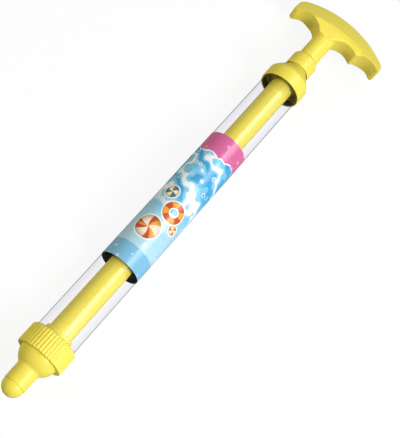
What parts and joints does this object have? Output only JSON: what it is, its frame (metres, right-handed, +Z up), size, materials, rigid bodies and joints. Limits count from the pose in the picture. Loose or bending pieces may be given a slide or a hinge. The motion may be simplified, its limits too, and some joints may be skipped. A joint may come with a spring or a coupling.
{
  "type": "water squirter",
  "caption": "Plunger water squirter: clear barrel with a printed sleeve, knurled nut holding a domed nozzle, rear cap, and a hollow rod with a bow-shaped finger grip.",
  "frame": {"origin": "centre of the outlet on the front face of the nozzle tip, on the barrel axis", "axes": "+X along the barrel axis from the nozzle to the handle, +Z up out of the plane of the handle, the handle's long arm towards -Y"},
  "size_m": [0.3802, 0.08, 0.0346],
  "materials": {
    "yellow_plastic": "glossy moulded yellow plastic",
    "clear_plastic": "clear extruded plastic",
    "printed_film": "glossy film printed in blues with a pink end stripe, dark on the back",
    "dark_rubber": "dark moulded rubber"
  },
  "bodies": {
    "barrel": {"barrel_tube": "clear_plastic", "label_sleeve": "printed_film", "rear_cap": "yellow_plastic", "cap_seal": "dark_rubber"},
    "nozzle": {"nozzle_tip": "yellow_plastic", "nozzle_body": "yellow_plastic", "nozzle_gasket": "dark_rubber"},
    "nut": {"nozzle_nut": "yellow_plastic"},
    "seals": {"piston_seal_front": "dark_rubber", "piston_seal_rear": "dark_rubber"},
    "plunger": {"piston_head": "yellow_plastic", "rod_tube": "yellow_plastic", "neck_ferrule": "yellow_plastic", "grip_top_shell": "yellow_plastic", "grip_bottom_shell": "yellow_plastic"}
  },
  "joints": [
    {"name": "nozzle_draw", "type": "slide", "parent": "barrel", "child": "nozzle", "axis": [-1, 0, 0], "range_m": [0, 0.009]},
    {"name": "nut_turn", "type": "hinge", "parent": "nozzle", "child": "nut", "pos_m": [0.0387, 0, 0], "axis": [-1, 0, 0], "range_deg": [0, 1080]},
    {"name": "plunger_slide", "type": "slide", "parent": "barrel", "child": "seals", "axis": [1, 0, 0], "range_m": [0, 0.2524]},
    {"name": "plunger_turn", "type": "hinge", "parent": "seals", "child": "plunger", "pos_m": [0.0412, 0, 0], "axis": [1, 0, 0], "continuous": true}
  ],
  "couplings": [
    {"joint": "nozzle_draw", "follows": "nut_turn", "m_per_rad": 0.00047746}
  ]
}
